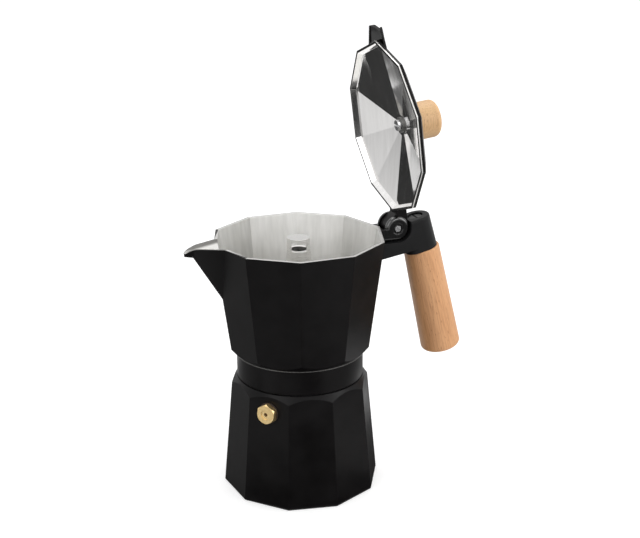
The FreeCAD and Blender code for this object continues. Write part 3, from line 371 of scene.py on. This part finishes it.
def paint(node, coat, *bare):
    """Coat a node, with each (material, mask) pair after the coat on the faces of its mask."""
    mesh = nodes[node].data
    mesh.materials.clear()
    index = np.zeros(len(mesh.polygons), dtype=np.int32)
    mesh.materials.append(coat)
    for number, (material, mask) in enumerate(bare, 1):
        mesh.materials.append(material)
        index[mask] = number
    mesh.polygons.foreach_set("material_index", index)
    mesh.update()


def facet_reach(points):
    """Distance of each point from the axis, measured square to the facet it faces."""
    step = 2 * math.pi / FACETS
    angle = np.arctan2(points[:, 1], points[:, 0])
    off = (angle % step) - step / 2
    return np.hypot(points[:, 0], points[:, 1]) * np.cos(off)


def swung(points, angle, about=hinge_place):
    """Turn points or, about the origin, directions by an angle round the lid's hinge."""
    moved = points - about
    cos, sin = math.cos(angle), math.sin(angle)
    turned = np.column_stack((moved[:, 0] * cos + moved[:, 2] * sin, moved[:, 1],
                              moved[:, 2] * cos - moved[:, 0] * sin))
    return turned + about


def paint_collector(black, gloss, drawn, turned, dull, cut):
    """Black casting with a bare hollow, channel, rim and ring, and gloss ears.

    The rim stays black where it rolls over beside the spout.
    """
    spout_root, spout_rise = -45.0 * MM, 10 * WALL
    roll_root, roll_side = -44.0 * MM, 15.0 * MM
    ear_behind, ear_below = 9 * MM, 8.6 * MM
    rim_slack, bore_slack = 0.05 * MM, 0.5 * MM
    centre, normal = faces_of("collector")
    along, across, height = centre.T
    upward = normal[:, 2]
    reach, spread = facet_reach(centre), np.hypot(along, across)
    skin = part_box("collector")[1].y - (rim_height - height) * SIDE_SLOPE - WALL / 2
    inside = (height > floor_height - WALL) & (reach < skin)
    open_side = (reach > skin) & (upward > HINT)
    sloping = (upward > SLOPE[0]) & (upward < SLOPE[1])
    channel = (along < spout_root) & (open_side | sloping) & (height > floor_height + spout_rise)
    rim = (upward > LEVEL) & (np.abs(height - rim_height) < rim_slack)
    rolled = (reach > skin) & (along < roll_root) & (np.abs(across) > roll_side)
    in_ring = (height > land_height) & (height < land_height + LAND_WIDTH)
    ring = in_ring & (spread > neck_radius + WALL)
    below = (spread < neck_radius + bore_slack) & (height < floor_height - WALL)
    ears = (along > hinge_place[0] - ear_behind) & (height > hinge_place[2] - ear_below)
    paint("collector", black, (gloss, ears), (drawn, inside), (turned, below), (dull, ring),
          (cut, rim & ~rolled), (spout_aluminium(), channel & ~rolled))


def paint_boiler(black, turned):
    """Black casting with a bare hollow and neck."""
    foot, floor_zone, floor_tilt = 1 * MM, 10 * MM, 0.5
    neck_slack, shoulder_slack = 0.2 * MM, 0.1 * MM
    centre, normal = faces_of("boiler")
    height, upward = centre[:, 2], normal[:, 2]
    spread = np.hypot(centre[:, 0], centre[:, 1])
    outward = (normal[:, :2] * centre[:, :2]).sum(1)
    inside = (outward < 0) | ((upward > floor_tilt) & (height < floor_zone))
    above_shoulder = height > shoulder_height - shoulder_slack
    neck = (spread < neck_radius + neck_slack) & above_shoulder
    paint("boiler", black, (turned, (inside & (height > foot)) | neck))


def paint_lid(black, polished, gloss):
    """Black casting with a polished hollow and a gloss hood, told apart where the lid is shut."""
    edge_width, rim_slack = 1.5 * MM, 0.4 * MM
    hood_step, hood_tilt = 0.5 * MM, 0.3
    centre, normal = faces_of("lid")
    centre, normal = swung(centre, -lid_swing), swung(normal, -lid_swing, np.zeros(3))
    downward = -normal[:, 2]
    above_rim = centre[:, 2] > rim_height + rim_slack
    hollow = (facet_reach(centre) < lid_reach - edge_width) & (downward > HINT) & above_rim
    hood = (centre[:, 0] < -lid_reach - hood_step) & (downward > hood_tilt)
    paint("lid", black, (polished, hollow), (gloss, hood))


def paint_pot():
    """Give every node its finish, and hand back the two metals that the added pieces share."""
    black, gloss = black_enamel(), gloss_black()
    drawn, turned, polished = drawn_aluminium(), turned_aluminium(), polished_aluminium()
    brass = plain_metal("brass", (0.86, 0.62, 0.28), (0.95, 0.73, 0.38), 0.34, 0.46)
    # Near-black brass for the valve's poppet, far darker than the valve body.
    dark_brass = plain_metal("dark_brass", (0.1, 0.05, 0.02), (0.16, 0.09, 0.04), 0.35, 0.5)
    steel = plain_metal("zinc_steel", (0.58, 0.58, 0.58), (0.7, 0.7, 0.71), 0.2, 0.3, 1 * MICRON)
    # Dark bare metal, far darker than the turned aluminium, for the collector's bare ring and the
    # knob's washer.
    dull = plain_metal("dark_bare_metal", (0.12, 0.118, 0.115), (0.2, 0.197, 0.19), 0.4, 0.55)
    cut = plain_metal("cut_edge", (0.44, 0.435, 0.425), (0.54, 0.535, 0.52), 0.35, 0.45)
    dark_steel = plain_metal("blackened_steel", (0.03, 0.03, 0.03), (0.05, 0.05, 0.05), 0.35, 0.5)

    paint_collector(black, gloss, drawn, turned, dull, cut)
    paint_boiler(black, turned)
    paint_lid(black, polished, gloss)
    centre, normal = faces_of("column")
    cap = (normal[:, 2] > LEVEL) & (centre[:, 2] > rim_height - WALL)
    paint("column", turned, (cut, cap))

    paint("handle_bracket", moulded_plastic())
    paint("grip", beech("beech_grip", (0.0, GRIP_LEAN, 0.0), (0.59, 0.292, 0.128),
                        (0.665, 0.346, 0.163), (0.725, 0.402, 0.202)))
    # The knob's beech is lighter and paler than the grip's: a painted lift for the light that falls
    # on the knob.
    paint("knob", beech("beech_knob", (0.0, 0.0, 0.0), (0.63, 0.375, 0.178),
                        (0.695, 0.437, 0.218), (0.75, 0.5, 0.263)))
    paint("gasket", soft_seal("white_seal", (0.66, 0.64, 0.6), (0.8, 0.78, 0.74)))
    paint("valve_washer", soft_seal("brown_fibre", (0.016, 0.009, 0.006), (0.03, 0.016, 0.01)))
    small_pieces = (
        (turned, ("funnel", "funnel_plate", "filter_plate")),
        (dull, ("knob_washer",)),
        (brass, ("valve_body", "valve_retainer")),
        (dark_brass, ("valve_poppet",)),
        (steel, ("valve_spring", "hinge_pin", "knob_screw")),
        (dark_steel, ("grip_screw", "grip_washer", "bracket_screw")),
    )
    for coat, names in small_pieces:
        for node in names:
            paint(node, coat)
    return turned, steel


# Pieces added to the solids

def piece_of(name, points, faces, material):
    """Object at the origin, with a mesh of points and faces in one material."""
    mesh = bpy.data.meshes.new(name)
    mesh.from_pydata(points, [], faces)
    mesh.materials.append(material)
    mesh.update()
    piece = bpy.data.objects.new(name, mesh)
    bpy.context.scene.collection.objects.link(piece)
    return piece


def surface(name, grid, material):
    """Mesh through a grid of points: rows run along the first index, columns round the second."""
    rows, columns = grid.shape[:2]
    number = np.arange(rows * columns).reshape(rows, columns)
    corner = (number[:-1, :-1], number[1:, :-1], number[1:, 1:], number[:-1, 1:])
    quads = np.stack(corner, axis=-1).reshape(-1, 4)
    piece = piece_of(name, grid.reshape(-1, 3).tolist(), quads.tolist(), material)
    return piece


def neck_thread(material):
    """Thread on the neck: a ridge of half-cosine section at a steady pitch, sunk in at both ends.

    r = neck + height * fade * cos(pi * v / 2) and z = start + pitch * turn + width * v, with v
    from -1 to 1.
    """
    pitch, width, height, turns = 3.0 * MM, 1.1 * MM, 0.3 * MM, 2.9
    start, sink, fade_turns = neck_top - 11.0 * MM, 0.02 * MM, 0.12
    steps, strips = 280, 9
    turn, across = np.meshgrid(np.linspace(0, turns, steps), np.linspace(-1, 1, strips),
                               indexing="ij")
    fade = np.clip(np.minimum(turn, turns - turn) / fade_turns, 0, 1)
    radius = neck_radius - sink + height * fade * np.cos(across * math.pi / 2)
    angle = 2 * math.pi * turn
    grid = np.stack((radius * np.cos(angle), radius * np.sin(angle),
                     start + pitch * turn + width * across), axis=-1)
    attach(surface("neck_thread", grid, material), "boiler_body")


def lid_line(material):
    """Bare line worn round the lid's skirt above its lower edge: a low flat ridge on ten sides.

    Corners lie at (lid_reach + proud) / cos(half a side's angle) and at lid_edge + rise, where
    the ridge stands out of the skirt and sinks back into it.
    """
    proud = np.array((-0.02, 0.04, 0.04, -0.02)) * MM
    rise = np.array((0.0, 0.04, 0.8, 0.86)) * MM
    angle = np.linspace(0, 2 * math.pi, FACETS + 1)
    corner = (lid_reach + proud)[:, None] / math.cos(math.pi / FACETS)
    level = np.broadcast_to((lid_edge + rise)[:, None], (len(rise), len(angle)))
    grid = np.stack((corner * np.cos(angle), corner * np.sin(angle), level), axis=-1)
    grid = swung(grid.reshape(-1, 3), lid_swing).reshape(grid.shape)
    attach(surface("lid_line", grid[::-1], material), "lid_body")


def pressed_spring(material):
    """Valve spring: a round wire wound on a helix.

    A point is axis * (along + thick * sin(v)) + (coil + thick * cos(v)) * (side * cos(turn)
    + up * sin(turn)), and the wire's thickness is drawn to a point at both ends.
    """
    wire, coil, pitch, taper = 0.3 * MM, 1.9 * MM, 2.2 * MM, 0.05 * MM
    steps, strips = 200, 13
    axis = np.array(joints["valve_slide"]["axis"])
    middle = points_of("valve_poppet").mean(0)
    reach = (points_of("valve_spring") - middle) @ axis
    low, high = reach.min() + wire, reach.max() - wire
    side = np.cross(axis, (0.0, 0.0, 1.0))
    side = side / np.linalg.norm(side)
    up = np.cross(axis, side)
    along, round_wire = np.meshgrid(np.linspace(low, high, steps),
                                    np.linspace(0, 2 * math.pi, strips), indexing="ij")
    turn = 2 * math.pi * (along - low) / pitch
    thick = wire * np.sqrt(np.clip(np.minimum(along - low, high - along) / taper, 0, 1))
    out = (coil + thick * np.cos(round_wire))[..., None]
    grid = (middle + axis * (along + thick * np.sin(round_wire))[..., None]
            + out * (side * np.cos(turn)[..., None] + up * np.sin(turn)[..., None]))
    spring = surface("pressed_spring", grid, material)
    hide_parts("valve_spring")
    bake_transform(spring)


# Studio, in metres

SKY = (0.5, 0.5, 0.5, 1.0)
WHITE = (1.0, 1.0, 1.0, 1.0)
LAMP_AIM = (0.0, 0.0, 0.13)
# Soft lamps: name, place, width and height, watts.
LAMPS = (
    ("left_softbox", (-0.9, -0.5, 0.75), (0.7, 0.9), 4.2),
    ("right_softbox", (0.85, -0.6, 0.6), (0.6, 0.8), 5.0),
    ("front_softbox", (0.3, -1.1, 0.6), (0.5, 0.4), 2.4),
    ("top_softbox", (0.1, 0.3, 1.2), (1.0, 1.0), 7.6),
)
CARD_STEP = 0.1 * MM
# Cards on the floor: name, from and to along X, from and to along Y, tone.
CARDS = (
    ("far_back_card", (-1.2, 0.12), (0.35, 2.6), 0.8),
    ("back_left_card", (-0.345, -0.1), (0.35, 2.4), 0.04),
    ("back_middle_card", (-0.1, -0.039), (0.5, 0.81), 0.14),
    ("back_middle_strip", (-0.1, -0.049), (0.8, 1.0), 0.14),
    ("back_near_strip", (-0.04, 0.01), (0.5, 0.73), 0.14),
    ("back_left_strip", (-0.44, -0.345), (1.0, 2.4), 0.04),
    ("back_right_card", (0.01, 0.5), (0.5, 1.5), 0.02),
    ("left_card", (-1.3, -0.45), (-0.9, 0.3), 0.12),
    ("outer_left_card", (-0.45, -0.17), (-0.06, 0.3), 0.3),
    ("inner_left_card", (-0.17, -0.04), (-0.06, 0.22), 0.3),
    ("hood_card", (-0.64, -0.36), (0.13, 0.29), 0.6),
    ("front_left_card", (-0.45, -0.07), (-0.9, -0.03), 0.3),
    ("lid_wall_card", (-0.41, -0.27), (-0.72, -0.5), 0.03),
    ("valve_card", (-0.14, -0.055), (-0.08, -0.03), 0.2),
    ("under_spout_card", (-0.23, -0.14), (-0.1, -0.02), 0.9),
    ("front_card", (-0.07, 0.1), (-0.9, -0.03), 0.0),
    ("outer_right_card", (0.2, 1.1), (-0.9, 0.08), 0.08),
    ("inner_right_card", (0.06, 0.2), (-0.9, -0.03), 0.6),
    ("near_right_card", (0.04, 0.125), (-0.04, 0.09), 0.1),
    ("far_right_card", (0.125, 0.5), (0.08, 0.42), 0.4),
)


def lamp(name, place, size, watts):
    """Soft rectangular lamp that faces the pot."""
    light = bpy.data.lights.new(name, "AREA")
    light.shape = "RECTANGLE"
    light.size, light.size_y = size
    light.energy = watts
    holder = bpy.data.objects.new(name, light)
    back = np.array(place) - np.array(LAMP_AIM)
    back = back / np.linalg.norm(back)
    side = np.cross((0.0, 0.0, 1.0), back)
    side = side / np.linalg.norm(side)
    holder.matrix_world = facing(side, np.cross(back, side), back, place)
    bpy.context.scene.collection.objects.link(holder)


def level_corners(across, along, height):
    """Corners of a level rectangle between two places along X and two along Y."""
    (left, right), (near, far) = across, along
    return ((left, near, height), (right, near, height), (right, far, height), (left, far, height))


def card(name, across, along, tone, layer):
    """Card of a tone that only reflections see, laid over the cards of lower layers."""
    finish = Finish(name, (tone, tone, tone), rough=0.9, specular=0.0)
    corners = level_corners(across, along, CARD_STEP * layer)
    piece = piece_of(name, corners, [(0, 1, 2, 3)], finish.material)
    piece.visible_camera = False
    piece.visible_diffuse = False
    piece.visible_shadow = False


def white_switch(tree):
    """One for rays of the camera, reflections and clear glass, nought for those that light."""
    path = tree.nodes.new("ShaderNodeLightPath")
    seen = path.outputs["Is Camera Ray"]
    for name in ("Is Glossy Ray", "Is Transmission Ray"):
        either = tree.nodes.new("ShaderNodeMath")
        either.operation = "MAXIMUM"
        tree.links.new(seen, either.inputs[0])
        tree.links.new(path.outputs[name], either.inputs[1])
        seen = either.outputs["Value"]
    return seen


def studio():
    """White surroundings, four soft lamps and cards that give metal and enamel contrast."""
    bpy.context.scene.view_settings.view_transform = "Standard"
    world = bpy.data.worlds.new("studio")
    bpy.context.scene.world = world
    world.use_nodes = True
    tree = world.node_tree
    sky = tree.nodes["Background"]
    sky.inputs["Color"].default_value = SKY
    white = tree.nodes.new("ShaderNodeBackground")
    white.inputs["Color"].default_value = WHITE
    mix = tree.nodes.new("ShaderNodeMixShader")
    tree.links.new(white_switch(tree), mix.inputs["Fac"])
    tree.links.new(sky.outputs["Background"], mix.inputs[1])
    tree.links.new(white.outputs["Background"], mix.inputs[2])
    tree.links.new(mix.outputs["Shader"], tree.nodes["World Output"].inputs["Surface"])
    for name, place, size, watts in LAMPS:
        lamp(name, place, size, watts)
    for layer, (name, across, along, tone) in enumerate(CARDS, 1):
        card(name, across, along, tone, layer)


def floor():
    """Pale square floor that takes the pot's shadow and fades to plain white away from it."""
    reach, drop = 6.0, 0.05 * MM
    near, far, near_glow, far_glow = 0.12, 2.0, 0.5, 0.74
    finish = Finish("pale_floor", (0.65, 0.65, 0.65), rough=0.9)
    finish.set("Emission Color", WHITE)
    length = finish.node("VectorMath", operation="LENGTH")
    finish.join(finish.place(), length.inputs[0])
    glow = finish.mapped(length.outputs["Value"], near, far, near_glow, far_glow)
    seen = finish.node("Math", operation="MULTIPLY")
    finish.join(glow, seen.inputs[0])
    finish.join(white_switch(finish.tree), seen.inputs[1])
    finish.join(seen.outputs["Value"], finish.shader.inputs["Emission Strength"])
    corners = level_corners((-reach, reach), (-reach, reach), -drop)
    piece = piece_of("floor", corners, [(0, 1, 2, 3)], finish.material)


place_camera()
turned, steel = paint_pot()
neck_thread(turned)
lid_line(turned)
pressed_spring(steel)
studio()
floor()
